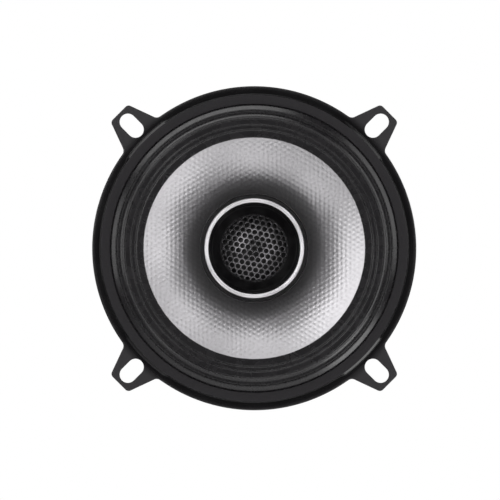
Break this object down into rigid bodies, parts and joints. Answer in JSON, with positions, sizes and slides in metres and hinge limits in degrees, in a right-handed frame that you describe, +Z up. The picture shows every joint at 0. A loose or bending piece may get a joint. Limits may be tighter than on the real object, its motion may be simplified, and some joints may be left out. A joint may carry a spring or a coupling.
{
  "type": "coaxial car speaker",
  "caption": "Round coaxial car loudspeaker: steel frame with slotted ears, rubber surround, embossed silver cone, and a dome tweeter under a perforated grille at its centre.",
  "frame": {"origin": "centre of the mounting plane, where the ears' rear faces rest on the panel", "axes": "+Y rearwards through the panel, so the cone faces -Y; +Z up, towards the terminals; +X to the right seen from the front"},
  "size_m": [0.13, 0.0604, 0.13],
  "materials": {
    "black_steel": "satin black paint",
    "gasket": "matte",
    "foam": "matte closed-cell foam",
    "surround_rubber": "satin",
    "silver_cone": "silver metallised, embossed",
    "adhesive": "gloss",
    "spider_cloth": "resin-dipped weave",
    "kapton": "satin",
    "copper": "enamelled wire",
    "zinc_steel": "zinc plated",
    "ferrite": "ground, matte",
    "neodymium": "nickel plated",
    "black_plastic": "gloss",
    "bright_ring": "bright brushed",
    "grille_steel": "dark metallic, perforated",
    "silk": "coated weave",
    "phenolic": "paper laminate",
    "tinned": "tin plated",
    "capacitor_sleeve": "shrink sleeve",
    "red_wire": "satin insulation",
    "black_wire": "satin insulation",
    "tinsel_braid": "braided"
  },
  "bodies": {
    "frame": {"basket": "black_steel", "front_gasket": "gasket", "rear_gasket": "foam", "top_plate": "zinc_steel", "magnet": "ferrite", "back_plate": "zinc_steel", "motor_rivet_1": "zinc_steel", "motor_rivet_2": "zinc_steel", "motor_rivet_3": "zinc_steel", "motor_rivet_4": "zinc_steel", "surround": "surround_rubber", "spider": "spider_cloth", "tweeter_post": "black_plastic", "tweeter_post_washer": "zinc_steel", "tweeter_post_nut": "zinc_steel", "tweeter_housing": "black_plastic", "tweeter_yoke": "zinc_steel", "tweeter_magnet": "neodymium", "tweeter_pole_plate": "zinc_steel", "tweeter_surround": "silk", "tweeter_waveguide": "black_plastic", "tweeter_grille": "grille_steel", "tweeter_trim_ring": "bright_ring", "terminal_board": "phenolic", "board_rivet_1": "zinc_steel", "board_rivet_2": "zinc_steel", "terminal_positive": "tinned", "terminal_negative": "tinned", "capacitor": "capacitor_sleeve", "capacitor_lead_positive": "tinned", "capacitor_lead_tweeter": "tinned", "tweeter_lead_positive": "red_wire", "tweeter_lead_negative": "black_wire", "tinsel_lead_left": "tinsel_braid", "tinsel_lead_right": "tinsel_braid"},
    "cone": {"cone": "silver_cone", "cone_bead": "adhesive", "voice_coil_former": "kapton", "voice_coil_winding": "copper", "lead_anchor_left": "adhesive", "lead_anchor_right": "adhesive"},
    "tweeter_diaphragm": {"tweeter_dome": "silk", "tweeter_voice_coil": "copper"}
  },
  "joints": [
    {"name": "cone_travel", "type": "slide", "parent": "frame", "child": "cone", "axis": [0, -1, 0], "range_m": [-0.003, 0.003], "stiffness_N_per_m": 2000, "deforming": ["surround", "spider", "tinsel_lead_left", "tinsel_lead_right"]},
    {"name": "tweeter_dome_travel", "type": "slide", "parent": "frame", "child": "tweeter_diaphragm", "axis": [0, -1, 0], "range_m": [-0.00025, 0.00025], "stiffness_N_per_m": 500, "deforming": ["tweeter_surround"]}
  ]
}
